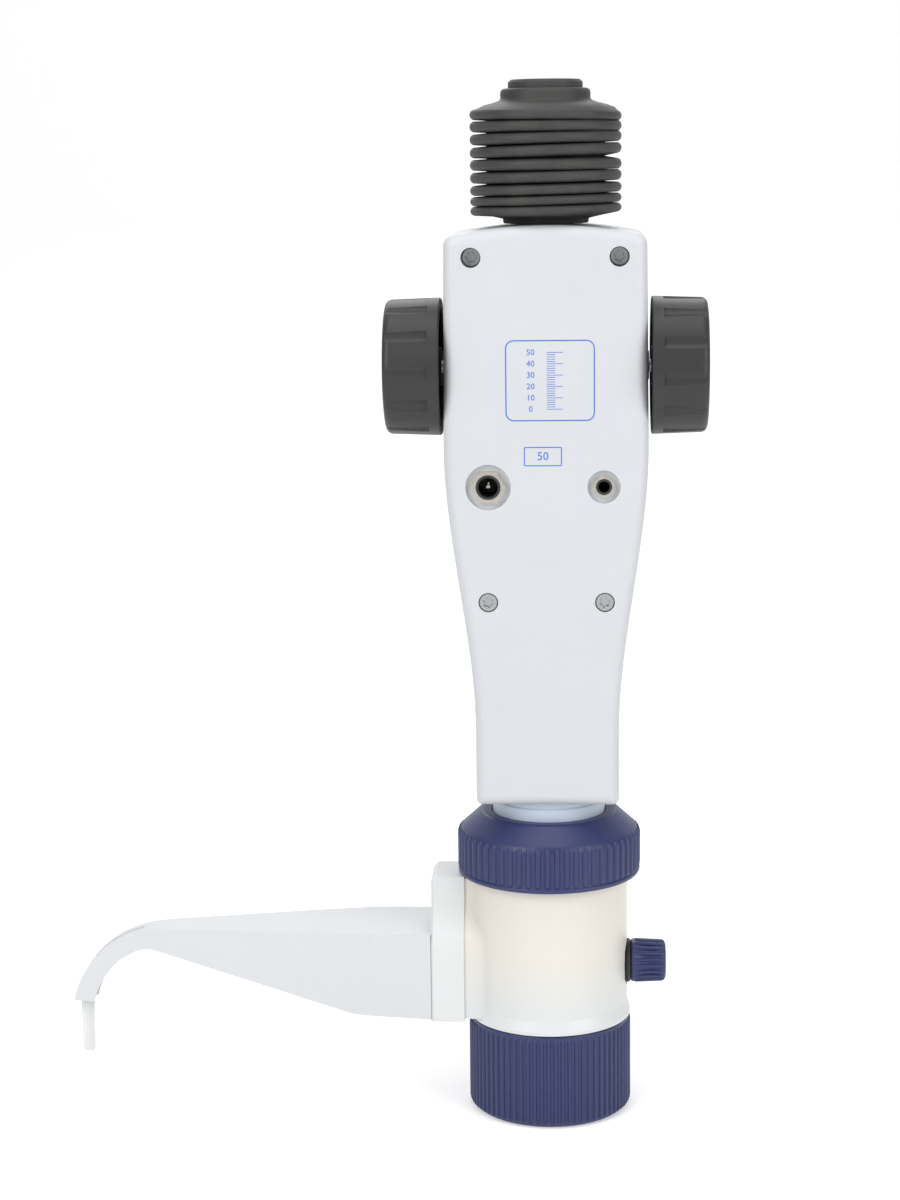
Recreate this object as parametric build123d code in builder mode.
from build123d import *
import math
import os

os.makedirs("parts", exist_ok=True)

# Bottle-top burette in millimetres. The origin is the centre of the bottle nut's
# open end, +Z runs up the burette, the arm points to +X and the rear faces +Y.

# Fits and gaps
running = 0.05  # a shaft in its bearing, per side
loose = 0.2  # a piece that turns or slides freely, per side
rest_gap = 0.3  # two bodies laid near each other
glue = 0.02  # two pieces of one body fitted together

# Bottle nut for a GL 45 thread, and its retaining ring
nut_bore = 22.7
nut_wall = 4.05
nut_height = 31.3
nut_lip = 4.0
nut_thread = 20.5
nut_relief_depth = 0.7
nut_ribs = 72
nut_rib_depth = 0.6
nut_corner = 2.2
ring_gap = 0.9
ring_step = 1.4
ring_height = 5.0
neck_wall = 3.4
gasket_height = 1.0

# Valve block
block_radius = 25.6
block_height = 48.6
block_flare = 1.0
block_flare_height = 4.5
thread_step = 0.6
thread_neck_height = 12.9
inlet_cavity_radius = 9.5
inlet_cavity_height = 9.0
channel_radius = 1.5
feed_radius = 3.0

# Ball valves
ball_radius = 3.0
ball_lift = 1.2
ball_room_radius = 3.6
ball_port = 2.0
cage_port = 2.4
nipple_radius = 4.0
nipple_length = 8.4
inlet_body_radius = 7.0
inlet_body_height = 12.0
seat_depth = 4.0
outlet_body_radius = 8.0
outlet_body_length = 18.6
outlet_depth = 10.6
outlet_rise = 24.5
outlet_port = 1.2
outlet_channel_drop = 6.0
outlet_axis_drop = 3.8

# Vent plug on the block's side
vent_rise = 17.4
vent_thread_radius = 4.0
vent_face_depth = 0.8
vent_knob_radius = 7.4
vent_knob_end_radius = 6.7
vent_knob_length = 11.4
vent_shank = 12.0
vent_ribs = 20
vent_rib_depth = 0.45
seal_thickness = 2.0
seal_middle_radius = 6.2

# Union nut
union_wall = 4.9
union_height = 20.8
union_skirt = 13.9
union_lip = 3.1
union_lip_width = 4.0
union_ribs = 60
union_rib_depth = 0.6
union_rim = 1.5

# Measuring cylinder, its collar, the piston and its rod
bore_radius = 15.0
glass_wall = 2.0
glass_seat = 6.2
glass_seal_height = 1.0
collar_wall = 1.3
collar_flange_gap = 0.6
collar_flange_height = 4.5
collar_head_height = 2.4
collar_neck = 6.2
collar_groove = 0.5
stroke = 70.7
piston_height = 10.0
piston_floor = 3.0
piston_seal_height = 5.0
rod_radius = 5.5
rod_flat = 1.5

# Bracket between the block and the arm
boss_reach = 2.0
bracket_depth = 10.9
bracket_rise = 1.1
bracket_gap = 0.3
bracket_half = 15.7
bracket_neck_half = 9.0
bracket_neck_height = 8.6
bracket_curve = 13.0

# Discharge arm, its tube and its nozzle
arm_reach = 120.3
arm_over_tube = 5.9
arm_wall = 1.6
arm_half = 15.4
arm_tip_half = 4.3
arm_shoulder = 19.5
arm_foot_length = 25.7
arm_foot_rise = 1.3
hook_length = 30.8
hook_bend_drop = 1.7
hook_depth = 7.3
hook_drop = 27.0
hook_width = 6.8
hook_wall = 0.8
hook_slot = 17.0
hook_slot_width = 1.2
tube_radius = 1.5
tube_bore = 0.8
tube_grip = 3.6
nozzle_length = 19.0
nozzle_grip = 5.0
nozzle_radius = 2.3
nozzle_end_radius = 2.0
nozzle_inset = 3.8

# Gear train
pressure_angle = math.radians(25)
fine_module = 0.5
axle_teeth = 13
reduction_teeth = 52
rack_module = 0.8
rack_pinion_teeth = 14
backlash = 0.12
gear_width = 3.0
gear_gap = 2.0
rack_pinion_width = 8.0
layshaft_radius = 2.0

# Gear frame
frame_over_glass = 25.0
axle_over_frame_foot = 52.7
frame_over_axle = 16.3
frame_plate = 2.0
frame_front = -8.0
frame_gap = 4.0
guide_height = 6.0
foot_radius = 3.0
foot_thickness = 2.0

# Housing
wall = 2.4
crown_over_axle = 44.1
crown_rise = 3.2
side_room = 2.05
depth_room = 2.3
gear_room = 0.8
front_swell = 4.0
housing_half = 31.9
crown_draft = 0.6
taper_foot = 24.0
taper_under_axle = 25.7
slope_under_keys = 21.0
slope_height = 55.0
edge_round = 3.6
floor_round = 2.0

# Housing screws
screw_head_radius = 3.1
screw_head_height = 2.4
screw_radius = 1.25
screw_length = 20.0
screw_post_radius = 3.6
top_screw_inset = 8.5
top_screw_drop = 9.6
top_screw_depth = 5.0
low_screw_inset = 4.5
low_screw_drop = 36.4
low_screw_depth = 0.3

# Sockets in the rear wall
socket_x = 18.0
socket_drop = 36.3
socket_recess = 1.6
socket_flange = 1.2
dc_recess_radius = 7.1
dc_barrel_radius = 3.87
dc_bore_radius = 3.12
dc_bore_depth = 11.3
dc_proud = 0.3
dc_pin_radius = 0.85
dc_nut_flats = 9.8
dc_nut_height = 1.8
data_recess_radius = 5.15
data_barrel_radius = 2.5
data_bore_radius = 1.8
data_bore_depth = 14.0
data_nut_radius = 3.45
data_nut_height = 1.5

# Handwheels and their axle
axle_radius = 2.0
axle_inset = 6.4
wheel_radius = 21.6
wheel_draft = 0.5
wheel_gap = 1.0
wheel_width = 17.5
wheel_web = 3.2
wheel_rim = 3.4
wheel_hub_radius = 6.0
wheel_corner = 2.2
wheel_screw_depth = 2.5
wheel_flutes = 12
flute_radius = 3.6
flute_depth = 1.0
flute_start = 3.6
bush_radius = 4.5
bush_flange_radius = 6.0
bush_flange = 1.5

# Encoder, circuit board, display and keys
encoder_gap = 5.5
encoder_radius = 11.0
encoder_thickness = 1.0
encoder_slots = 12
board_gap = 6.0
board_thickness = 1.6
board_inset = 5.9
board_under_axle = 38.7
board_height = 67.0
standoff_radius = 2.2
standoff_inset = 3.0
window_inset = 8.5
window_height = 20.0
window_drop = 7.0
lcd_margin = 2.5
key_rise = 19.0
key_pitch = 14.0
key_radius = 4.5
key_proud = 1.2
key_travel = 0.6
switch_height = 1.2
switch_width = 6.2

# Battery cell and its saddle
cell_radius = 5.2
cell_gap = 3.9
cell_y = -5.0
cell_length = 44.0
cell_hang = 20.0
saddle_rise = 7.0
saddle_height = 16.0
saddle_depth = 9.0

# Bellows and its cap
bellows_neck = 13.4
bellows_neck_height = 2.5
bellows_wall = 1.8
bellows_root_step = 4.1
bellows_fold = 6.2
bellows_folds = 9
bellows_pitch = 3.622
bellows_collar = 14.1
bellows_collar_height = 3.6
bellows_head = 6.4
cap_radius = 11.65
cap_height = 2.6
cap_boss_wall = 2.5
rod_end_depth = 4.4
seat_ring_height = 5.0
seat_spigot_step = 2.4

# Radii and widths worked out from the sizes above
nut_radius = nut_bore + nut_wall
nut_relief = nut_bore + nut_relief_depth
ring_radius = nut_bore - ring_gap
neck_radius = ring_radius - ring_step
neck_core = neck_radius - neck_wall
block_foot_radius = block_radius + block_flare
thread_neck_radius = block_radius - thread_step
vent_face_x = block_radius - vent_face_depth
union_radius = thread_neck_radius + union_wall
glass_radius = bore_radius + glass_wall
collar_radius = glass_radius + collar_wall
collar_groove_radius = collar_radius - collar_groove
collar_flange_radius = thread_neck_radius - collar_flange_gap
union_top_radius = collar_radius + union_lip_width
bracket_x = block_radius + boss_reach
arm_x = bracket_x + bracket_depth
arm_tip_x = arm_x + arm_reach
arm_bend_x = arm_tip_x - hook_length
nozzle_x = arm_tip_x - nozzle_inset
outlet_x = bracket_x - outlet_depth
outlet_body_start = bracket_x - outlet_body_length
tube_start_x = bracket_x - tube_grip
frame_inner_x = rod_radius + 1.0
plate_x = frame_inner_x + frame_plate
foot_x = plate_x + foot_radius - 0.5
gear_x = plate_x + gear_gap
encoder_x = -plate_x - encoder_gap
cell_x = -plate_x - cell_gap - cell_radius
rack_pitch_radius = rack_module * rack_pinion_teeth / 2
rack_pitch_y = rod_flat - rack_module
axle_y = rack_pitch_y + rack_pitch_radius
gear_centres = fine_module * (axle_teeth + reduction_teeth) / 2
gear_reach = axle_y + fine_module * (reduction_teeth / 2 + 1)
inner_rear = max(collar_radius + depth_room, gear_reach + gear_room)
housing_rear = inner_rear + wall
housing_half_low = collar_radius + side_room + wall
housing_half_top = housing_half - crown_draft
housing_front_low = collar_radius + depth_room + wall
housing_front = housing_front_low + front_swell
inner_front = wall - housing_front
frame_rear = inner_rear - frame_gap
parting_y = axle_y
top_screw_x = housing_half_top - top_screw_inset
low_screw_x = housing_half_low - low_screw_inset
wheel_end_radius = wheel_radius - wheel_draft
wheel_inner_x = housing_half + wheel_gap
wheel_outer_x = wheel_inner_x + wheel_width
axle_half_length = wheel_outer_x - axle_inset
board_half = housing_half - board_inset
board_front = board_gap - housing_front
window_half = board_half - window_inset
bellows_root = bellows_neck + bellows_root_step
bellows_radius = bellows_root + bellows_fold
seat_ring_radius = bellows_neck - bellows_wall - loose
seat_spigot = seat_ring_radius - seat_spigot_step
cap_boss = rod_radius + cap_boss_wall

# Heights worked out from the bottom up, from the nut to the bellows
block_bottom = nut_height - nut_lip - rest_gap - ring_height
block_shoulder = nut_height + block_height
block_top = block_shoulder + thread_neck_height
vent_z = nut_height + vent_rise
outlet_z = nut_height + outlet_rise
bracket_bottom = nut_height + bracket_rise
bracket_top = block_shoulder - bracket_gap
arm_top = outlet_z + arm_over_tube
arm_tip_z = arm_top - hook_drop
nozzle_top = arm_tip_z + rest_gap
nozzle_bottom = nozzle_top - nozzle_length
union_bottom = block_shoulder + 0.1
union_top = union_bottom + union_height
glass_bottom = block_top - glass_seat
piston_bottom = glass_bottom + 0.4
piston_top = piston_bottom + piston_height
glass_top = piston_top + stroke + rest_gap
housing_bottom = union_top + collar_neck
frame_bottom = glass_top + frame_over_glass
axle_z = frame_bottom + axle_over_frame_foot
frame_top = axle_z + frame_over_axle
layshaft_z = axle_z - gear_centres
foot_high_z = frame_top - foot_radius - 1.0
foot_low_z = frame_bottom + foot_radius
housing_top = axle_z + crown_over_axle
housing_corner_z = housing_top - crown_rise
taper_top = axle_z - taper_under_axle
taper_bottom = housing_bottom + taper_foot
socket_z = axle_z - socket_drop
top_screw_z = housing_top - top_screw_drop
low_screw_z = socket_z - low_screw_drop
board_bottom = axle_z - board_under_axle
board_top = board_bottom + board_height
window_top = board_top - window_drop
window_middle = window_top - window_height / 2
key_z = board_bottom + key_rise
front_slope_top = key_z - slope_under_keys
front_slope_bottom = front_slope_top - slope_height
saddle_bottom = frame_bottom + saddle_rise
cell_bottom = saddle_bottom - cell_hang
bellows_bottom = housing_top + 0.1
bellows_first_fold = bellows_bottom + bellows_neck_height
bellows_last_fold = bellows_first_fold + bellows_folds * bellows_pitch
bellows_top = bellows_last_fold + bellows_head
cap_top = bellows_top + cap_height
rod_top = bellows_top - rod_end_depth
rod_flat_bottom = frame_bottom - stroke - rest_gap


def save(piece, node):
    """Names a finished piece and writes it to its own file."""
    piece.part.label = node
    export_step(piece.part, f"parts/{node}.step")


def turned(outline):
    """A turned piece from its half section, given as radius and height."""
    with BuildPart() as piece:
        with BuildSketch(Plane.XZ):
            with BuildLine():
                Polyline(*outline, close=True)
            make_face()
        revolve(axis=Axis.Z)
    return piece


def tube_along(plane, outer, inner, length):
    """A plain ring or tube that starts on a plane and runs along its normal."""
    with BuildPart() as piece:
        with BuildSketch(plane):
            Circle(outer)
            if inner:
                Circle(inner, mode=Mode.SUBTRACT)
        extrude(amount=length)
    return piece


def across(x, y=axle_y, z=axle_z):
    """A plane square to X, with its sketch's x along Y and its y along Z."""
    return Plane(origin=(x, y, z), x_dir=(0, 1, 0), z_dir=(1, 0, 0))


def rearward(x, y, z):
    """A plane whose normal points to the rear, with its sketch's y up."""
    return Plane(origin=(x, y, z), x_dir=(-1, 0, 0), z_dir=(0, 1, 0))


def ribbed_disc(radius, ribs, depth):
    """A round section with evenly spaced grooves, for a nut or knob to grip."""
    half_pitch = math.pi * radius / ribs
    with BuildSketch() as section:
        Circle(radius)
        with PolarLocations(radius, ribs):
            Rectangle(2 * depth, half_pitch, mode=Mode.SUBTRACT)
    return section.sketch


def involute(angle):
    return math.tan(angle) - angle


def gear_outline(module, teeth, first_tooth):
    """The points of an involute gear with a tooth centred on the angle first_tooth."""
    pitch = module * teeth / 2
    base = pitch * math.cos(pressure_angle)
    tip = pitch + module
    root = pitch - 1.25 * module
    half_tooth = (math.pi * module - backlash) / (4 * pitch) + involute(pressure_angle)
    lowest = max(base, root)
    radii = [lowest, (lowest + pitch) / 2, pitch, (pitch + tip) / 2, tip]
    flank = [(r, half_tooth - involute(math.acos(base / r))) for r in radii]
    if base > root:
        flank.insert(0, (root, flank[0][1]))
    points = []
    for tooth in range(teeth):
        middle = first_tooth + 2 * math.pi * tooth / teeth
        rising = [(r, middle - a) for r, a in flank]
        falling = [(r, middle + a) for r, a in reversed(flank)]
        points += [(r * math.cos(a), r * math.sin(a)) for r, a in rising + falling]
    return points


def gear(x, y, z, module, teeth, first_tooth, width, bore):
    """A spur gear on a shaft along X."""
    with BuildPart() as piece:
        with BuildSketch(across(x, y, z)):
            with BuildLine():
                Polyline(*gear_outline(module, teeth, first_tooth), close=True)
            make_face()
            Circle(bore, mode=Mode.SUBTRACT)
        extrude(amount=width)
    return piece


# Bottle nut: ribbed outside, plain thread bore, a relief above it and an inward lip
with BuildPart() as bottle_nut:
    with BuildSketch(Plane.XZ):
        with BuildLine():
            Polyline(
                (nut_bore, 0),
                (nut_radius - nut_corner, 0),
                (nut_radius - 0.3 * nut_corner, 0.3 * nut_corner),
                (nut_radius, nut_corner),
                (nut_radius, nut_height - 0.5),
                (nut_radius - 0.5, nut_height),
                (neck_radius + loose, nut_height),
                (neck_radius + loose, nut_height - nut_lip),
                (nut_relief, nut_height - nut_lip),
                (nut_relief, nut_thread),
                (nut_bore, nut_thread),
                close=True,
            )
        make_face()
    revolve(axis=Axis.Z)
    with BuildSketch(Plane.XY.offset(nut_corner)):
        Circle(nut_radius + 1)
        add(ribbed_disc(nut_radius, nut_ribs, nut_rib_depth), mode=Mode.SUBTRACT)
    extrude(amount=nut_height - nut_corner - 1.2, mode=Mode.SUBTRACT)
save(bottle_nut, "bottle_nut")

# Retaining ring and bottle gasket under the block
save(
    tube_along(Plane.XY.offset(block_bottom), ring_radius, neck_core + glue, ring_height),
    "neck_ring",
)
save(
    tube_along(
        Plane.XY.offset(block_bottom - gasket_height), ring_radius - 0.6, neck_core - 2, gasket_height
    ),
    "bottle_gasket",
)


def bracket_outline(inset):
    """The bracket's shape seen along X: wide below, drawn in to a narrow head."""
    low, high = bracket_bottom + inset, bracket_top - inset
    wide, narrow = bracket_half - inset, bracket_neck_half - inset
    curve_high = bracket_top - bracket_neck_height
    curve_low = curve_high - bracket_curve
    curve_middle = (curve_low + curve_high) / 2
    with BuildSketch() as outline:
        with BuildLine() as half:
            Line((0, low), (wide, low))
            Line((wide, low), (wide, curve_low))
            Bezier(
                (wide, curve_low),
                (wide, curve_middle - 0.5),
                (narrow, curve_middle + 0.5),
                (narrow, curve_high),
            )
            Line((narrow, curve_high), (narrow, high))
            Line((narrow, high), (0, high))
            mirror(about=Plane.YZ)
        make_face()
    return outline.sketch


# Heights of the valves inside the block
ball_seat_rise = math.sqrt(ball_radius**2 - ball_port**2)
ball_top_stop = math.sqrt(ball_radius**2 - cage_port**2)
ball_room_height = ball_seat_rise + ball_lift + 0.1 + ball_top_stop
inlet_body_bottom = block_bottom + inlet_cavity_height
inlet_body_top = inlet_body_bottom + inlet_body_height
inlet_seat_z = inlet_body_bottom + seat_depth
inlet_room_top = inlet_seat_z + ball_room_height
outlet_axis_z = outlet_z - outlet_axis_drop
outlet_entry_z = outlet_axis_z - outlet_channel_drop
outlet_seat_z = outlet_axis_z - seat_depth
outlet_room_top = outlet_seat_z + ball_room_height
glass_pocket_radius = glass_radius + loose
glass_pocket_bottom = glass_bottom - glass_seal_height
foot_bottom = nut_height + rest_gap
ring_top = block_bottom + ring_height

# Valve block: a turned body with a boss towards the arm and drilled channels
with BuildPart() as valve_block:
    with BuildSketch(Plane.XZ):
        with BuildLine():
            Polyline(
                (0, block_bottom),
                (neck_core, block_bottom),
                (neck_core, ring_top),
                (neck_radius, ring_top),
                (neck_radius, foot_bottom),
                (block_foot_radius, foot_bottom),
                (block_foot_radius, foot_bottom + block_flare),
                (block_radius, foot_bottom + block_flare_height),
                (block_radius, block_shoulder),
                (thread_neck_radius, block_shoulder),
                (thread_neck_radius, block_top),
                (0, block_top),
                close=True,
            )
        make_face()
    revolve(axis=Axis.Z)
    with BuildSketch(across(0, 0, 0)):
        add(bracket_outline(0.8))
    extrude(amount=bracket_x)
    with BuildSketch(Plane.XY.offset(glass_pocket_bottom)):
        Circle(glass_pocket_radius)
    extrude(amount=block_top - glass_pocket_bottom, mode=Mode.SUBTRACT)
    with BuildSketch(Plane.XY.offset(block_bottom)):
        Circle(inlet_cavity_radius)
    extrude(amount=inlet_body_bottom - block_bottom, mode=Mode.SUBTRACT)
    with BuildSketch(Plane.XY.offset(inlet_body_bottom)):
        Circle(inlet_body_radius + glue)
    extrude(amount=inlet_body_height, mode=Mode.SUBTRACT)
    with BuildSketch(Plane.XY.offset(inlet_body_top)):
        Circle(feed_radius)
    extrude(amount=glass_pocket_bottom - inlet_body_top, mode=Mode.SUBTRACT)
    with BuildSketch(across(0, 0, outlet_entry_z)):
        Circle(outlet_port)
    extrude(amount=outlet_body_start, mode=Mode.SUBTRACT)
    with BuildSketch(across(outlet_body_start, 0, outlet_axis_z)):
        Circle(outlet_body_radius + glue)
    extrude(amount=bracket_x - outlet_body_start, mode=Mode.SUBTRACT)
    with BuildSketch(across(-vent_face_x, 0, vent_z)):
        Circle(vent_knob_radius + 0.5)
    extrude(amount=-10, mode=Mode.SUBTRACT)
    with BuildSketch(across(-vent_face_x, 0, vent_z)):
        Circle(vent_thread_radius + running)
    extrude(amount=vent_shank + 1.0, mode=Mode.SUBTRACT)
    with BuildSketch(Plane(origin=(-vent_face_x + vent_shank - 1.0, 0, block_bottom))):
        Circle(channel_radius)
    extrude(amount=vent_z - block_bottom, mode=Mode.SUBTRACT)
save(valve_block, "valve_block")

# Inlet valve: a hose nipple and a seat, with a bored room that the ball rises in
with BuildPart() as inlet_valve:
    with BuildSketch(Plane.XY.offset(inlet_body_bottom)):
        Circle(inlet_body_radius)
    extrude(amount=inlet_body_height)
    with BuildSketch(Plane.XY.offset(inlet_body_bottom)):
        Circle(nipple_radius)
    extrude(amount=-nipple_length)
    with BuildSketch(Plane.XY.offset(inlet_body_bottom - nipple_length)):
        Circle(ball_port)
    extrude(amount=nipple_length + seat_depth, mode=Mode.SUBTRACT)
    with BuildSketch(Plane.XY.offset(inlet_seat_z)):
        Circle(ball_room_radius)
    extrude(amount=inlet_body_top - inlet_seat_z, mode=Mode.SUBTRACT)
save(inlet_valve, "inlet_valve")

# Inlet cage: a ring pressed in over the ball
save(
    tube_along(
        Plane.XY.offset(inlet_room_top), ball_room_radius - glue, cage_port, inlet_body_top - inlet_room_top
    ),
    "inlet_cage",
)

# Outlet valve: a plug pushed in from the boss, with an upright seat and ball room
with BuildPart() as outlet_valve:
    with BuildSketch(across(outlet_body_start, 0, outlet_axis_z)):
        Circle(outlet_body_radius)
    extrude(amount=bracket_x - outlet_body_start)
    with BuildSketch(across(outlet_body_start, 0, outlet_entry_z)):
        Circle(outlet_port)
    extrude(amount=outlet_x - outlet_body_start, mode=Mode.SUBTRACT)
    with BuildSketch(Plane(origin=(outlet_x, 0, outlet_entry_z - outlet_port))):
        Circle(ball_port)
    extrude(amount=outlet_seat_z - outlet_entry_z + outlet_port, mode=Mode.SUBTRACT)
    with BuildSketch(Plane(origin=(outlet_x, 0, outlet_seat_z))):
        Circle(ball_room_radius)
    extrude(amount=2 * outlet_body_radius, mode=Mode.SUBTRACT)
    with BuildSketch(across(outlet_x, 0, outlet_z)):
        Circle(tube_bore)
    extrude(amount=bracket_x - outlet_x, mode=Mode.SUBTRACT)
    with BuildSketch(across(tube_start_x, 0, outlet_z)):
        Circle(tube_radius + glue)
    extrude(amount=bracket_x - tube_start_x, mode=Mode.SUBTRACT)
save(outlet_valve, "outlet_valve")

# Outlet cage: a plug over the ball with a port below and a side port to the tube
with BuildPart() as outlet_cage:
    with BuildSketch(Plane(origin=(outlet_x, 0, outlet_room_top))):
        Circle(ball_room_radius - glue)
    extrude(amount=outlet_z + 2.6 - outlet_room_top)
    with BuildSketch(Plane(origin=(outlet_x, 0, outlet_room_top))):
        Circle(cage_port)
    extrude(amount=outlet_z + outlet_port - outlet_room_top, mode=Mode.SUBTRACT)
    with BuildSketch(across(outlet_x, 0, outlet_z)):
        Circle(tube_bore)
    extrude(amount=2 * ball_room_radius, mode=Mode.SUBTRACT)
save(outlet_cage, "outlet_cage")


def valve_ball(x, seat_z):
    """A ball resting just above the edge of its seat."""
    with BuildPart() as piece:
        with Locations((x, 0, seat_z + ball_seat_rise + glue)):
            Sphere(ball_radius)
    return piece


save(valve_ball(0, inlet_seat_z), "inlet_ball")
save(valve_ball(outlet_x, outlet_seat_z), "outlet_ball")

# Bracket between the block's boss and the arm
with BuildPart() as arm_bracket:
    with BuildSketch(across(bracket_x, 0, 0)):
        add(bracket_outline(0))
    extrude(amount=bracket_depth)
    chamfer(arm_bracket.faces().sort_by(Axis.X)[-1].edges().filter_by(Axis.Z), 0.8)
    chamfer(arm_bracket.faces().sort_by(Axis.Z)[-1].edges().sort_by(Axis.X)[-1], 1.6)
    with BuildSketch(across(bracket_x, 0, outlet_z)):
        Circle(tube_radius + glue)
    extrude(amount=bracket_depth, mode=Mode.SUBTRACT)
save(arm_bracket, "arm_bracket")

# Discharge arm: an upturned channel, drawn in towards a hook that points down
arm_foot = bracket_bottom + 0.6
arm_shoulder_x = arm_x + arm_shoulder
hook_start_x = arm_tip_x - arm_shoulder
hook_bend_z = arm_top - hook_bend_drop
hook_inner_x = arm_tip_x - hook_width
hook_inner_z = arm_tip_z - 0.4


def arm_plan(inset):
    """The arm seen from above: broad at the bracket, tapering to the hook."""
    broad, slim = arm_half - inset, arm_tip_half - inset
    with BuildSketch(Plane.XY.offset(arm_tip_z - arm_half)) as plan:
        with BuildLine():
            Polyline(
                (arm_x, 0),
                (arm_x, broad),
                (arm_shoulder_x, broad - 0.3),
                (hook_start_x, slim),
                (arm_tip_x + 1, slim - 0.2),
                (arm_tip_x + 1, 0),
            )
            mirror(about=Plane.XZ)
        make_face()
    return plan.sketch


def arm_crown(drop):
    """The arm's top edge, from the start of the hook's bend back to the bracket."""
    return Bezier(
        (arm_bend_x, hook_bend_z - drop),
        (arm_bend_x - hook_length, hook_bend_z + 0.9 - drop),
        (arm_shoulder_x, arm_top + 0.7 - drop),
        (arm_x, arm_top - drop),
    )


with BuildPart() as arm_cover:
    with BuildSketch(Plane.XZ.offset(-arm_half)):
        with BuildLine():
            foot_end = (arm_x + arm_foot_length, arm_foot + arm_foot_rise)
            hook_inner_start = (arm_bend_x + 3.0, hook_bend_z - hook_depth)
            Polyline((arm_x, arm_foot), foot_end, hook_inner_start)
            Bezier(
                hook_inner_start,
                (arm_bend_x + 12.0, hook_bend_z - hook_depth + 1.6),
                (hook_inner_x - 2.0, hook_inner_z + 9.7),
                (hook_inner_x, hook_inner_z),
            )
            Line((hook_inner_x, hook_inner_z), (arm_tip_x, arm_tip_z))
            Bezier(
                (arm_tip_x, arm_tip_z),
                (arm_tip_x - 2.4, arm_tip_z + 12.3),
                (arm_bend_x + 17.0, hook_bend_z - 0.4),
                (arm_bend_x, hook_bend_z),
            )
            arm_crown(0)
            Line((arm_x, arm_top), (arm_x, arm_foot))
        make_face()
    extrude(amount=2 * arm_half)
    extrude(to_extrude=arm_plan(0), amount=4 * arm_half, mode=Mode.INTERSECT)
    with BuildSketch(Plane.XZ.offset(-arm_half)):
        with BuildLine():
            hollow_low = arm_foot - arm_half
            hollow_tip_x = arm_tip_x - hook_wall
            Polyline(
                (hollow_tip_x, arm_tip_z - 1),
                (hollow_tip_x, hollow_low),
                (arm_x - 1, hollow_low),
                (arm_x - 1, arm_top - arm_wall),
                (arm_x, arm_top - arm_wall),
            )
            arm_crown(arm_wall)
            Bezier(
                (arm_bend_x, hook_bend_z - arm_wall),
                (arm_bend_x + 16.5, hook_bend_z - 0.4 - arm_wall),
                (arm_tip_x - 3.5, arm_tip_z + 12.3 - hook_wall),
                (hollow_tip_x, arm_tip_z - 1),
            )
        make_face()
    hollow = extrude(amount=2 * arm_half, mode=Mode.PRIVATE)
    narrow = extrude(to_extrude=arm_plan(arm_wall), amount=4 * arm_half, mode=Mode.PRIVATE)
    add(hollow & narrow, mode=Mode.SUBTRACT)
    with BuildSketch(Plane.XY.offset(arm_tip_z)):
        with Locations(((arm_bend_x + arm_tip_x) / 2, 0)):
            SlotOverall(hook_slot, hook_slot_width)
    extrude(amount=hook_drop, mode=Mode.SUBTRACT)
save(arm_cover, "arm_cover")

# Discharge tube: from the outlet valve along the arm and down into the nozzle
tube_end_z = nozzle_top - nozzle_grip
tube_bend_x = arm_bend_x - 4.0
with BuildPart() as discharge_tube:
    with BuildLine() as tube_path:
        Line((tube_start_x, 0, outlet_z), (tube_bend_x, 0, outlet_z))
        Bezier(
            (tube_bend_x, 0, outlet_z),
            (tube_bend_x + 14.0, 0, outlet_z),
            (nozzle_x, 0, nozzle_top + 8.0),
            (nozzle_x, 0, nozzle_top + 1.0),
        )
        Line((nozzle_x, 0, nozzle_top + 1.0), (nozzle_x, 0, tube_end_z))
    with BuildSketch(across(tube_start_x, 0, outlet_z)):
        Circle(tube_radius)
        Circle(tube_bore, mode=Mode.SUBTRACT)
    sweep()
save(discharge_tube, "discharge_tube")

# Nozzle: a slim tapered sleeve round the tube's end
with BuildPart() as nozzle_tip:
    with BuildSketch(Plane.XZ):
        with BuildLine():
            Polyline(
                (nozzle_x + tube_radius + glue, nozzle_top),
                (nozzle_x + nozzle_radius, nozzle_top),
                (nozzle_x + nozzle_end_radius, nozzle_bottom + 0.8),
                (nozzle_x + nozzle_end_radius - 0.6, nozzle_bottom),
                (nozzle_x + tube_bore, nozzle_bottom),
                (nozzle_x + tube_bore, tube_end_z - glue),
                (nozzle_x + tube_radius + glue, tube_end_z - glue),
                close=True,
            )
        make_face()
    revolve(axis=Axis((nozzle_x, 0, 0), (0, 0, 1)))
save(nozzle_tip, "nozzle_tip")

# Vent plug: a flared, ribbed knob on a threaded shank, with a sealing ring behind it
vent_knob_x = vent_face_x + seal_thickness + 0.1
with BuildPart() as vent_plug:
    with BuildSketch(across(-vent_knob_x, 0, vent_z)) as knob_inner:
        add(ribbed_disc(vent_knob_radius, vent_ribs, vent_rib_depth))
    with BuildSketch(across(-vent_knob_x - vent_knob_length, 0, vent_z)) as knob_outer:
        add(ribbed_disc(vent_knob_end_radius, vent_ribs, vent_rib_depth))
    loft()
    with BuildSketch(across(-vent_knob_x, 0, vent_z)):
        Circle(vent_thread_radius)
    extrude(amount=vent_shank + seal_thickness)
save(vent_plug, "vent_plug")

seal_half = seal_thickness / 2
with BuildPart() as vent_seal:
    with BuildSketch(Plane.XZ):
        with Locations((-vent_face_x - seal_half - 0.05, vent_z + seal_middle_radius)):
            Circle(seal_half)
    revolve(axis=Axis((0, 0, vent_z), (1, 0, 0)))
save(vent_seal, "vent_seal")

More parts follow.
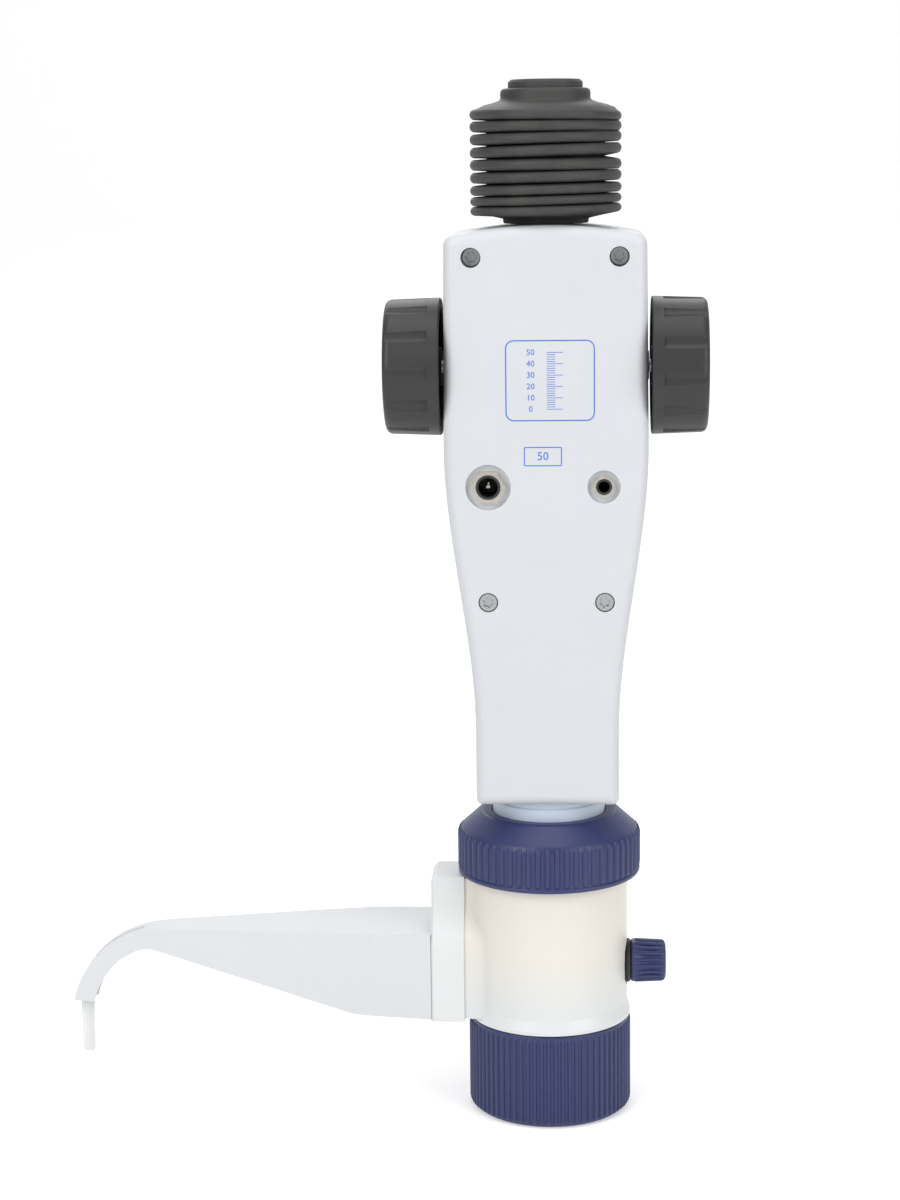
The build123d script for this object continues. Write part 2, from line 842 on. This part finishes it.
# Union nut: a ribbed skirt under a cone, with a lip that holds the collar down
with BuildPart() as union_nut:
    with BuildSketch(Plane.XZ):
        with BuildLine():
            Polyline(
                (thread_neck_radius + loose, union_bottom),
                (union_radius - 0.7, union_bottom),
                (union_radius, union_bottom + 0.7),
                (union_radius, union_bottom + union_skirt),
                (union_top_radius + 0.6, union_top - 0.4),
                (union_top_radius - 0.4, union_top),
                (collar_radius + loose, union_top),
                (collar_radius + loose, union_top - union_lip),
                (thread_neck_radius + loose, union_top - union_lip),
                close=True,
            )
        make_face()
    revolve(axis=Axis.Z)
    with BuildSketch(Plane.XY.offset(union_bottom + union_rim)):
        Circle(union_radius + 1)
        add(ribbed_disc(union_radius, union_ribs, union_rib_depth), mode=Mode.SUBTRACT)
    extrude(amount=union_skirt, mode=Mode.SUBTRACT)
save(union_nut, "union_nut")

# Collar: clamped by the union nut below, held in the housing's floor above
head_bottom = housing_bottom + wall + glue
head_top = head_bottom + collar_head_height
collar_inner = glass_radius + 0.1
collar_bottom = block_top + loose
groove_bottom = housing_bottom - 2.1
flange_top = collar_bottom + collar_flange_height
save(
    turned(
        [
            (collar_inner, collar_bottom),
            (collar_flange_radius, collar_bottom),
            (collar_flange_radius, flange_top),
            (collar_radius, flange_top),
            (collar_radius, groove_bottom - collar_groove),
            (collar_groove_radius, groove_bottom),
            (collar_groove_radius, head_bottom),
            (collar_radius, head_bottom),
            (collar_radius, head_top),
            (collar_inner, head_top),
        ]
    ),
    "cylinder_collar",
)

# Glass cylinder and its flat seal
save(
    tube_along(Plane.XY.offset(glass_bottom), glass_radius, bore_radius, glass_top - glass_bottom),
    "glass_cylinder",
)
save(
    tube_along(Plane.XY.offset(glass_pocket_bottom), glass_radius, bore_radius - 0.4, glass_seal_height),
    "cylinder_seal",
)

# Piston, its sealing ring and the toothed rod
piston_body_radius = bore_radius - 0.4
seal_bottom = piston_bottom + (piston_height - piston_seal_height) / 2
seal_top = seal_bottom + piston_seal_height
seal_seat_radius = bore_radius - 2.0
save(
    turned(
        [
            (0, piston_bottom),
            (piston_body_radius - 1, piston_bottom),
            (piston_body_radius, piston_bottom + 1),
            (piston_body_radius, seal_bottom),
            (seal_seat_radius, seal_bottom),
            (seal_seat_radius, seal_top),
            (piston_body_radius, seal_top),
            (piston_body_radius, piston_top),
            (rod_radius + glue, piston_top),
            (rod_radius + glue, piston_bottom + piston_floor),
            (0, piston_bottom + piston_floor),
        ]
    ),
    "piston",
)
save(
    tube_along(
        Plane.XY.offset(seal_bottom + glue),
        bore_radius - running,
        seal_seat_radius + glue,
        piston_seal_height - 2 * glue,
    ),
    "piston_seal",
)

rack_pitch = math.pi * rack_module
rack_margin = 3 * rack_pitch
rack_low = layshaft_z - stroke - rack_margin
rack_high = layshaft_z + rack_margin
rod_bottom = piston_bottom + piston_floor + glue


def rack_gap(middle):
    """One gap between rack teeth, drawn in Y and Z with straight flanks."""
    half = (rack_pitch + backlash) / 4
    lean = math.tan(pressure_angle)
    tip_y, root_y = rod_flat + 0.5, rack_pitch_y - 1.25 * rack_module
    wide = half + (tip_y - rack_pitch_y) * lean
    slim = half - (rack_pitch_y - root_y) * lean
    Polygon(
        (tip_y, middle - wide),
        (tip_y, middle + wide),
        (root_y, middle + slim),
        (root_y, middle - slim),
        align=None,
    )


with BuildPart() as toothed_rod:
    with BuildSketch(Plane.XY.offset(rod_bottom)):
        Circle(rod_radius)
    extrude(amount=rod_top - rod_bottom)
    chamfer(toothed_rod.faces().sort_by(Axis.Z)[-1].edges(), 0.8)
    with BuildSketch(Plane.XY.offset(rod_flat_bottom)):
        with Locations((0, rod_flat + rod_radius)):
            Rectangle(4 * rod_radius, 2 * rod_radius)
    extrude(amount=rod_top, mode=Mode.SUBTRACT)
    with BuildSketch(across(-2 * rod_radius, 0, 0)):
        lowest_gap = -int((layshaft_z - rack_low) / rack_pitch)
        highest_gap = int((rack_high - layshaft_z) / rack_pitch)
        for gap in range(lowest_gap, highest_gap + 1):
            rack_gap(layshaft_z + gap * rack_pitch)
    extrude(amount=4 * rod_radius, mode=Mode.SUBTRACT)
save(toothed_rod, "toothed_rod")

# Bellows: nine folds round the rod, held by a ring on the housing and by the cap
fold_outline = []
for fold in range(bellows_folds):
    low = bellows_first_fold + fold * bellows_pitch
    fold_outline += [
        (bellows_root, low),
        (bellows_radius, low + 0.32 * bellows_pitch),
        (bellows_radius, low + 0.68 * bellows_pitch),
    ]
bellows_shoulder = bellows_top - bellows_collar_height
save(
    turned(
        [
            (bellows_neck - bellows_wall, bellows_bottom),
            (bellows_neck, bellows_bottom),
            (bellows_neck, bellows_first_fold - 0.3),
            *fold_outline,
            (bellows_collar, bellows_shoulder),
            (bellows_collar, bellows_top),
            (cap_boss + glue, bellows_top),
            (cap_boss + glue, bellows_shoulder),
            (bellows_root - 2, bellows_shoulder - 1.6),
            (bellows_root - 2, bellows_first_fold + 1.2),
            (bellows_neck - bellows_wall, bellows_first_fold),
        ]
    ),
    "bellows",
)
save(
    turned(
        [
            (0, rod_top + glue),
            (cap_boss, rod_top + glue),
            (cap_boss, bellows_top + glue),
            (cap_radius, bellows_top + glue),
            (cap_radius, cap_top - 0.8),
            (cap_radius - 0.8, cap_top),
            (0, cap_top),
        ]
    ),
    "bellows_cap",
)
seat_hole = rod_radius + 1.0
seat_bottom = housing_top - wall - 1.6
save(
    turned(
        [
            (seat_hole, seat_bottom),
            (seat_spigot, seat_bottom),
            (seat_spigot, housing_top + glue),
            (seat_ring_radius, housing_top + glue),
            (seat_ring_radius, housing_top + seat_ring_height),
            (seat_hole, housing_top + seat_ring_height),
        ]
    ),
    "bellows_seat",
)


# Housing: a flat-backed shell, waisted above the collar and arched at the crown
def housing_outline(inset):
    """The housing seen from the rear."""
    low, high = housing_bottom + inset, housing_top - inset
    slim, broad = housing_half_low - inset, housing_half - inset
    top, corner = housing_half_top - inset, housing_corner_z - inset
    third = (taper_top - taper_bottom) / 3
    with BuildSketch() as outline:
        with BuildLine():
            Line((0, low), (slim, low))
            Line((slim, low), (slim, taper_bottom))
            Bezier(
                (slim, taper_bottom),
                (slim, taper_bottom + third),
                (broad - 0.3, taper_bottom + 2 * third),
                (broad, taper_top),
            )
            Line((broad, taper_top), (top, corner))
            ThreePointArc((top, corner), (0, high), (-top, corner))
            Line((-top, corner), (-broad, taper_top))
            Bezier(
                (-broad, taper_top),
                (-broad + 0.3, taper_bottom + 2 * third),
                (-slim, taper_bottom + third),
                (-slim, taper_bottom),
            )
            Line((-slim, taper_bottom), (-slim, low))
            Line((-slim, low), (0, low))
        make_face()
        fillet(outline.vertices().group_by(Axis.Y)[-1], edge_round - 0.7 * inset)
        fillet(outline.vertices().filter_by(lambda v: v.Y < low + 0.1 and abs(v.X) > 1), floor_round)
    return outline.sketch


def housing_form(inset, rounding):
    """The housing as one closed form, its front sloping back below the keys."""
    rear, front = housing_rear - inset, inset - housing_front
    front_low = inset - housing_front_low
    with BuildPart() as form:
        with BuildSketch(Plane.XZ.offset(-rear)):
            add(housing_outline(inset))
        extrude(amount=rear - front)
        with BuildSketch(across(-2 * housing_half, 0, 0)):
            with BuildLine():
                Polyline(
                    (front, front_slope_top),
                    (front_low, front_slope_bottom),
                    (front_low, housing_bottom - 1),
                    (front - 1, housing_bottom - 1),
                    (front - 1, front_slope_top),
                    close=True,
                )
            make_face()
        extrude(amount=4 * housing_half, mode=Mode.SUBTRACT)
        fillet(form.faces().sort_by(Axis.Y)[-1].edges(), rounding)
        front_edges = form.edges().filter_by(lambda e: e.center().Y < front_low + 0.1)
        fillet(front_edges.filter_by(Axis.X, reverse=True), rounding)
    return form.part


def bar_along_y(x, z, radius, start_y, end_y):
    """A round bar along Y between two depths, to add or to cut away."""
    with BuildPart() as bar:
        with BuildSketch(rearward(x, start_y, z)):
            Circle(radius)
        extrude(amount=end_y - start_y)
    return bar.part


outer_form = housing_form(0, edge_round)
inner_form = housing_form(wall, 1.2)
half_space = 2 * housing_top

# Depths of the screws, of the socket pads and of the posts for the gear frame
top_head_y = housing_rear - top_screw_depth
low_head_y = housing_rear - low_screw_depth
housing_screws_at = [
    (side * x, z, head_y)
    for x, z, head_y in ((top_screw_x, top_screw_z, top_head_y), (low_screw_x, low_screw_z, low_head_y))
    for side in (-1, 1)
]
rear_post_radius = screw_head_radius + 1.3
pad_y = housing_rear - socket_recess - wall
frame_post_end = (inner_rear + housing_rear) / 2
bush_hole_radius = bush_radius + glue


def front_wall_y(z):
    """The middle of the front wall at a height, where the wall slopes below the keys."""
    share = (front_slope_top - z) / slope_height
    return wall / 2 - housing_front + front_swell * min(1, max(0, share))


# What both halves leave open: holes for the collar, the bellows seat and the bushes
with BuildPart() as shell_openings:
    with BuildSketch(Plane.XY.offset(housing_bottom - 1)):
        Circle(collar_groove_radius + loose)
    extrude(amount=wall + 2)
    with BuildSketch(Plane.XY.offset(housing_top - wall - 2)):
        Circle(seat_spigot + glue)
    extrude(amount=wall + 4)
    with BuildSketch(across(-housing_half - 1)):
        Circle(bush_hole_radius)
    extrude(amount=2 * housing_half + 2)


# Rear housing: socket pads, recesses for the screw heads and posts
with BuildPart() as rear_housing:
    add(outer_form)
    add(inner_form, mode=Mode.SUBTRACT)
    for x, z, head_y in housing_screws_at:
        with BuildSketch(rearward(x, parting_y, z)):
            Circle(rear_post_radius)
        extrude(amount=housing_rear - 1 - parting_y)
    for side in (-1, 1):
        with BuildSketch(rearward(side * socket_x, pad_y, socket_z)):
            Circle(dc_recess_radius + 0.9)
        extrude(amount=wall)
        for foot_z in (foot_high_z, foot_low_z):
            with BuildSketch(rearward(side * foot_x, frame_rear + glue, foot_z)):
                Circle(foot_radius)
            extrude(amount=frame_post_end - frame_rear)
            pilot = bar_along_y(side * foot_x, foot_z, screw_radius + glue, frame_rear, frame_rear + 5.5)
            add(pilot, mode=Mode.SUBTRACT)
    for x, z, head_y in housing_screws_at:
        head_room = bar_along_y(x, z, screw_head_radius, head_y - screw_head_height, housing_rear + 1)
        shank_room = bar_along_y(x, z, screw_radius + loose, parting_y - 1, housing_rear)
        add(head_room, mode=Mode.SUBTRACT)
        add(shank_room, mode=Mode.SUBTRACT)
    for x, recess_radius, barrel_radius in (
        (socket_x, dc_recess_radius, dc_barrel_radius),
        (-socket_x, data_recess_radius, data_barrel_radius),
    ):
        recess = bar_along_y(x, socket_z, recess_radius, housing_rear - socket_recess, housing_rear + 1)
        barrel_room = bar_along_y(x, socket_z, barrel_radius + glue, pad_y - 1, housing_rear)
        add(recess, mode=Mode.SUBTRACT)
        add(barrel_room, mode=Mode.SUBTRACT)
    add(shell_openings.part, mode=Mode.SUBTRACT)
    with Locations((0, parting_y - half_space / 2, 0)):
        Box(half_space, half_space, 2 * half_space, mode=Mode.SUBTRACT)
save(rear_housing, "rear_housing")

# Front housing: window, key holes, circuit board standoffs and screw posts
board_rear = board_front + board_thickness
standoff_x = board_half - standoff_inset
standoffs = [(x, z) for x in (-standoff_x, standoff_x) for z in (board_bottom + 4, board_top - 4)]
with BuildPart() as front_housing:
    add(outer_form)
    add(inner_form, mode=Mode.SUBTRACT)
    for x, z, head_y in housing_screws_at:
        shank_end = head_y - screw_head_height - screw_length
        add(bar_along_y(x, z, screw_post_radius, front_wall_y(z), parting_y))
        add(bar_along_y(x, z, screw_radius + glue, shank_end, parting_y + 1), mode=Mode.SUBTRACT)
    for x, z in standoffs:
        add(bar_along_y(x, z, standoff_radius, inner_front - 1, board_front - glue))
    with BuildSketch(rearward(0, -housing_front - 1, window_middle)):
        RectangleRounded(2 * window_half, window_height, 1.5)
    extrude(amount=wall + 2, mode=Mode.SUBTRACT)
    for key in (-1, 0, 1):
        key_hole = bar_along_y(
            key * key_pitch, key_z, key_radius + loose, -housing_front - 1, inner_front + 1
        )
        add(key_hole, mode=Mode.SUBTRACT)
    add(shell_openings.part, mode=Mode.SUBTRACT)
    with Locations((0, parting_y - glue + half_space / 2, 0)):
        Box(half_space, half_space, 2 * half_space, mode=Mode.SUBTRACT)
save(front_housing, "front_housing")


def screw(x, z, head_y, direction, head_radius, head_height, radius, length, socket):
    """A screw along Y whose head starts at head_y and whose shank runs on from it."""
    with BuildPart() as piece:
        with BuildSketch(rearward(x, head_y, z)):
            Circle(head_radius)
        extrude(amount=direction * head_height)
        with BuildSketch(rearward(x, head_y + direction * head_height, z)):
            Circle(radius)
        extrude(amount=direction * (length - glue))
        with BuildSketch(rearward(x, head_y, z)):
            RegularPolygon(socket, 6)
        extrude(amount=direction * head_height * 0.6, mode=Mode.SUBTRACT)
    return piece.part


with BuildPart() as housing_screws:
    for x, z, head_y in housing_screws_at:
        add(
            screw(
                x,
                z,
                head_y,
                -1,
                screw_head_radius - 0.1,
                screw_head_height - glue,
                screw_radius,
                screw_length,
                1.5,
            )
        )
save(housing_screws, "housing_screws")

# Display window and the display module behind it
with BuildPart() as display_window:
    with BuildSketch(rearward(0, inner_front + glue, window_middle)):
        RectangleRounded(2 * window_half - 0.2, window_height - 0.2, 1.4)
    extrude(amount=0.3 - wall)
save(display_window, "display_window")

lcd_front = inner_front + 0.15
with BuildPart() as lcd_module:
    with BuildSketch(rearward(0, lcd_front, window_middle)):
        Rectangle(2 * (window_half + lcd_margin), window_height + 2 * lcd_margin)
    extrude(amount=board_front - glue - lcd_front)
    with BuildSketch(rearward(0, lcd_front, window_middle)):
        Rectangle(2 * window_half - 1, window_height - 1)
    extrude(amount=0.4, mode=Mode.SUBTRACT)
save(lcd_module, "lcd_module")

# Circuit board with its key switches and the encoder's fork
with BuildPart() as circuit_board:
    with BuildSketch(rearward(0, board_front, (board_bottom + board_top) / 2)):
        Rectangle(2 * board_half, board_top - board_bottom)
    extrude(amount=board_thickness)
    for x, z in standoffs:
        add(bar_along_y(x, z, 1.4, board_front - 1, board_rear + 1), mode=Mode.SUBTRACT)
save(circuit_board, "circuit_board")

switch_front = board_front - switch_height
with BuildPart() as key_switches:
    with BuildSketch(rearward(0, board_front - glue, key_z)):
        with Locations((-key_pitch, 0), (0, 0), (key_pitch, 0)):
            Rectangle(switch_width, switch_width)
    extrude(amount=glue + switch_front + 0.4 - board_front)
    with BuildSketch(rearward(0, switch_front + 0.4, key_z)):
        with Locations((-key_pitch, 0), (0, 0), (key_pitch, 0)):
            Circle(1.7)
    extrude(amount=-0.4)
save(key_switches, "key_switches")

# Round keys, each with a flange inside the wall and a stem over its switch
key_flange_y = inner_front + 0.1
for node, side in (("power_button", -1), ("clear_button", 0), ("mode_button", 1)):
    with BuildPart() as key:
        with BuildSketch(rearward(side * key_pitch, key_flange_y, key_z)):
            Circle(key_radius)
        extrude(amount=-(key_flange_y + housing_front + key_proud))
        chamfer(key.faces().sort_by(Axis.Y)[0].edges(), 0.5)
        with BuildSketch(rearward(side * key_pitch, key_flange_y, key_z)):
            Circle(key_radius + 1.1)
        extrude(amount=0.8)
        with BuildSketch(rearward(side * key_pitch, key_flange_y + 0.8, key_z)):
            Circle(2.0)
        extrude(amount=switch_front - key_travel - 0.1 - key_flange_y - 0.8)
    save(key, node)

fork_bottom, fork_top = axle_z - 4.0, axle_z + 4.0
with BuildPart() as encoder_sensor:
    with BuildSketch(rearward(encoder_x, board_rear + glue, axle_z)):
        Rectangle(6.0, fork_top - fork_bottom)
    extrude(amount=-3.0 - board_rear)
    with BuildSketch(rearward(encoder_x, -9.0, axle_z)):
        Rectangle(encoder_thickness + 1.0, 2 * fork_top)
    extrude(amount=9.0, mode=Mode.SUBTRACT)
save(encoder_sensor, "encoder_sensor")


def socket_body(x, body_radius, flange_radius, barrel_radius, bore_radius, front, rear, depth):
    """A panel socket: a body and flange inside, and a barrel through the wall."""
    flange_y = pad_y - socket_flange - glue
    with BuildPart() as piece:
        with BuildSketch(rearward(x, front, socket_z)):
            Circle(body_radius)
        extrude(amount=flange_y - front)
        with BuildSketch(rearward(x, flange_y, socket_z)):
            Circle(flange_radius)
        extrude(amount=socket_flange)
        with BuildSketch(rearward(x, flange_y, socket_z)):
            Circle(barrel_radius)
        extrude(amount=rear - flange_y)
        add(bar_along_y(x, socket_z, bore_radius, rear - depth, rear + 1), mode=Mode.SUBTRACT)
        if depth < data_bore_depth:
            add(bar_along_y(x, socket_z, dc_pin_radius + glue, rear - depth - 2, rear), mode=Mode.SUBTRACT)
    return piece


# Power socket with its nut and centre pin
dc_rear = housing_rear + dc_proud
dc_front = dc_rear - dc_bore_depth - 3.0
nut_y = housing_rear - socket_recess + glue
save(
    socket_body(socket_x, 5.0, 5.6, dc_barrel_radius, dc_bore_radius, dc_front, dc_rear, dc_bore_depth),
    "dc_socket",
)
with BuildPart() as dc_socket_nut:
    with BuildSketch(rearward(socket_x, nut_y, socket_z)):
        RegularPolygon(dc_nut_flats / 2, 6, major_radius=False)
        Circle(dc_barrel_radius + glue, mode=Mode.SUBTRACT)
    extrude(amount=dc_nut_height)
save(dc_socket_nut, "dc_socket_nut")
with BuildPart() as dc_centre_pin:
    with BuildSketch(rearward(socket_x, dc_rear - dc_bore_depth - 2 + glue, socket_z)):
        Circle(dc_pin_radius)
    extrude(amount=dc_bore_depth)
    chamfer(dc_centre_pin.faces().sort_by(Axis.Y)[-1].edges(), 0.3)
    with BuildSketch(rearward(socket_x, dc_rear - 6, socket_z)):
        Rectangle(0.4, 2)
    extrude(amount=6, mode=Mode.SUBTRACT)
save(dc_centre_pin, "dc_centre_pin")

# Data jack with its ring nut
save(
    socket_body(
        -socket_x,
        3.4,
        4.3,
        data_barrel_radius,
        data_bore_radius,
        housing_rear - data_bore_depth - 1.4,
        housing_rear,
        data_bore_depth,
    ),
    "data_jack",
)
with BuildPart() as data_jack_nut:
    with BuildSketch(rearward(-socket_x, nut_y, socket_z)):
        Circle(data_nut_radius)
        Circle(data_barrel_radius + glue, mode=Mode.SUBTRACT)
    extrude(amount=data_nut_height)
save(data_jack_nut, "data_jack_nut")

# Gear frame: two plates joined by rod guides, with feet on the housing's posts
guide_radius = rod_radius + loose
guide_half = (frame_rear - frame_front) / 2 - 3.3
with BuildPart() as gear_frame:
    for side in (-1, 1):
        with BuildSketch(across(side * (frame_inner_x + frame_plate / 2), 0, 0)):
            with Locations(((frame_front + frame_rear) / 2, (frame_bottom + frame_top) / 2)):
                Rectangle(frame_rear - frame_front, frame_top - frame_bottom)
            with Locations((axle_y, axle_z)):
                Circle(axle_radius + loose, mode=Mode.SUBTRACT)
            with Locations((axle_y, layshaft_z)):
                Circle(layshaft_radius + running, mode=Mode.SUBTRACT)
        extrude(amount=frame_plate / 2, both=True)
        with BuildSketch(rearward(side * (plate_x + foot_x + foot_radius) / 2, frame_rear, 0)):
            with Locations((0, foot_high_z), (0, foot_low_z)):
                Rectangle(foot_x + foot_radius - plate_x, 2 * foot_radius)
        extrude(amount=-foot_thickness)
        for foot_z in (foot_high_z, foot_low_z):
            foot_hole = bar_along_y(
                side * foot_x, foot_z, screw_radius + 0.1, frame_rear - foot_thickness - 1, frame_rear + 1
            )
            add(foot_hole, mode=Mode.SUBTRACT)
    for guide_bottom in (frame_bottom, frame_top - guide_height):
        with BuildSketch(Plane.XY.offset(guide_bottom)):
            with Locations((0, 1.0)):
                Rectangle(2 * frame_inner_x, 2 * guide_half)
            with BuildSketch(mode=Mode.PRIVATE) as rod_section:
                Circle(guide_radius)
                with Locations((0, rod_flat + loose + guide_radius)):
                    Rectangle(4 * guide_radius, 2 * guide_radius, mode=Mode.SUBTRACT)
            add(rod_section, mode=Mode.SUBTRACT)
        extrude(amount=guide_height)
save(gear_frame, "gear_frame")

with BuildPart() as frame_screws:
    for side in (-1, 1):
        for foot_z in (foot_high_z, foot_low_z):
            head_start = frame_rear - foot_thickness - glue - 1.6
            add(screw(side * foot_x, foot_z, head_start, 1, 2.2, 1.6, screw_radius, 7.0, 0.9))
save(frame_screws, "frame_screws")

# Battery cell in a saddle on the frame's left plate
with BuildPart() as battery_cell:
    with BuildSketch(Plane(origin=(cell_x, cell_y, cell_bottom))):
        Circle(cell_radius)
    extrude(amount=cell_length - 1)
    with BuildSketch(Plane(origin=(cell_x, cell_y, cell_bottom + cell_length - 1))):
        Circle(1.8)
    extrude(amount=1)
save(battery_cell, "battery_cell")
saddle_edge_x = cell_x + 3.5
with BuildPart() as battery_holder:
    with BuildSketch(Plane.XY.offset(saddle_bottom)):
        with Locations(((saddle_edge_x - plate_x - glue) / 2, cell_y)):
            Rectangle(-plate_x - glue - saddle_edge_x, saddle_depth)
        with Locations((cell_x, cell_y)):
            Circle(cell_radius + glue, mode=Mode.SUBTRACT)
    extrude(amount=saddle_height)
save(battery_holder, "battery_holder")

# Axle, its bushes and its small pinion
bush_flange_x = housing_half - wall - 0.6
with BuildPart() as handwheel_axle:
    with BuildSketch(across(-axle_half_length)):
        Circle(axle_radius)
    extrude(amount=2 * axle_half_length)
    for side in (-1, 1):
        with BuildSketch(across(side * axle_half_length)):
            Circle(screw_radius + glue)
        extrude(amount=-side * 10.0, mode=Mode.SUBTRACT)
save(handwheel_axle, "handwheel_axle")

with BuildPart() as axle_bushes:
    for side in (-1, 1):
        with BuildSketch(across(side * bush_flange_x)):
            Circle(bush_radius)
        extrude(amount=side * (wheel_inner_x - 0.7 - bush_flange_x))
        with BuildSketch(across(side * bush_flange_x)):
            Circle(bush_flange_radius)
        extrude(amount=-side * bush_flange)
        with BuildSketch(across(side * (bush_flange_x - bush_flange))):
            Circle(axle_radius + running)
        extrude(amount=side * 10.0, mode=Mode.SUBTRACT)
save(axle_bushes, "axle_bushes")

save(
    gear(gear_x, axle_y, axle_z, fine_module, axle_teeth, -math.pi / 2, gear_width, axle_radius + glue),
    "axle_pinion",
)
facing_gap = math.pi / 2 + math.pi / reduction_teeth
save(
    gear(
        gear_x,
        axle_y,
        layshaft_z,
        fine_module,
        reduction_teeth,
        facing_gap,
        gear_width,
        layshaft_radius + glue,
    ),
    "reduction_gear",
)

# Layshaft and the pinion that drives the rod
with BuildPart() as layshaft:
    with BuildSketch(across(-plate_x - 1.0, axle_y, layshaft_z)):
        Circle(layshaft_radius)
    extrude(amount=plate_x + 1.0 + gear_x + gear_width + 0.5)
save(layshaft, "layshaft")
with BuildPart() as rack_pinion:
    with BuildSketch(across(-rack_pinion_width / 2, axle_y, layshaft_z)):
        with BuildLine():
            Polyline(*gear_outline(rack_module, rack_pinion_teeth, math.pi), close=True)
        make_face()
    extrude(amount=rack_pinion_width)
    with BuildSketch(across(rest_gap - frame_inner_x, axle_y, layshaft_z)):
        Circle(layshaft_radius + 1.2)
    extrude(amount=2 * (frame_inner_x - rest_gap))
    with BuildSketch(across(-frame_inner_x, axle_y, layshaft_z)):
        Circle(layshaft_radius + glue)
    extrude(amount=2 * frame_inner_x, mode=Mode.SUBTRACT)
save(rack_pinion, "rack_pinion")

# Slotted encoder disc on the axle
with BuildPart() as encoder_disc:
    with BuildSketch(across(encoder_x - encoder_thickness / 2)):
        Circle(encoder_radius)
        with PolarLocations(encoder_radius - 2.2, encoder_slots):
            Rectangle(2.8, 1.6, mode=Mode.SUBTRACT)
        Circle(axle_radius + glue, mode=Mode.SUBTRACT)
    extrude(amount=encoder_thickness)
    with BuildSketch(across(encoder_x)):
        Circle(axle_radius + 1.5)
        Circle(axle_radius + glue, mode=Mode.SUBTRACT)
    extrude(amount=2.5)
save(encoder_disc, "encoder_disc")


# Handwheels: cups that open towards the housing, with grip flutes outside
def handwheel(side, first_flute):
    """One handwheel, on the right for side 1 and on the left for side -1."""
    axis = Axis((0, axle_y, axle_z), (1, 0, 0))
    wheel_plane = Plane(origin=(0, axle_y, axle_z), x_dir=(side, 0, 0), z_dir=(0, -side, 0))
    cup_x = wheel_outer_x - wheel_web
    cup_radius = wheel_radius - wheel_rim
    head_x = wheel_outer_x - wheel_screw_depth
    with BuildPart() as piece:
        with BuildSketch(wheel_plane):
            with BuildLine():
                Polyline(
                    (wheel_outer_x, screw_head_radius + 0.4),
                    (head_x, screw_head_radius + 0.4),
                    (head_x, screw_radius + loose),
                    (axle_half_length + loose, screw_radius + loose),
                    (axle_half_length + loose, axle_radius + glue),
                    (wheel_inner_x, axle_radius + glue),
                    (wheel_inner_x, wheel_hub_radius),
                    (cup_x, wheel_hub_radius),
                    (cup_x, cup_radius),
                    (wheel_inner_x, cup_radius),
                    (wheel_inner_x, wheel_radius - 0.4),
                    (wheel_inner_x + 0.4, wheel_radius),
                    (wheel_outer_x - wheel_corner, wheel_end_radius),
                )
                Bezier(
                    (wheel_outer_x - wheel_corner, wheel_end_radius),
                    (wheel_outer_x - 0.8, wheel_end_radius - 0.1),
                    (wheel_outer_x - 0.1, wheel_end_radius - 0.8),
                    (wheel_outer_x, wheel_end_radius - wheel_corner),
                )
                Line(
                    (wheel_outer_x, wheel_end_radius - wheel_corner),
                    (wheel_outer_x, screw_head_radius + 0.4),
                )
            make_face()
        revolve(axis=axis)
        with BuildSketch(across(side * (wheel_inner_x + flute_start))):
            with PolarLocations(
                wheel_radius + flute_radius - flute_depth, wheel_flutes, start_angle=first_flute
            ):
                Circle(flute_radius)
        extrude(amount=side * wheel_outer_x, mode=Mode.SUBTRACT)
    return piece


save(handwheel(1, 0), "handwheel_right")
save(handwheel(-1, -6.5), "handwheel_left")

with BuildPart() as handwheel_screws:
    for side in (-1, 1):
        screw_top = wheel_outer_x - 0.4
        head_bottom_x = wheel_outer_x - wheel_screw_depth + glue
        with BuildSketch(across(side * head_bottom_x)):
            Circle(screw_head_radius)
        extrude(amount=side * (screw_top - head_bottom_x))
        with BuildSketch(across(side * head_bottom_x)):
            Circle(screw_radius)
        extrude(amount=-side * 12.0)
        with BuildSketch(across(side * screw_top)):
            RegularPolygon(1.4, 6)
        extrude(amount=-side * 1.2, mode=Mode.SUBTRACT)
save(handwheel_screws, "handwheel_screws")
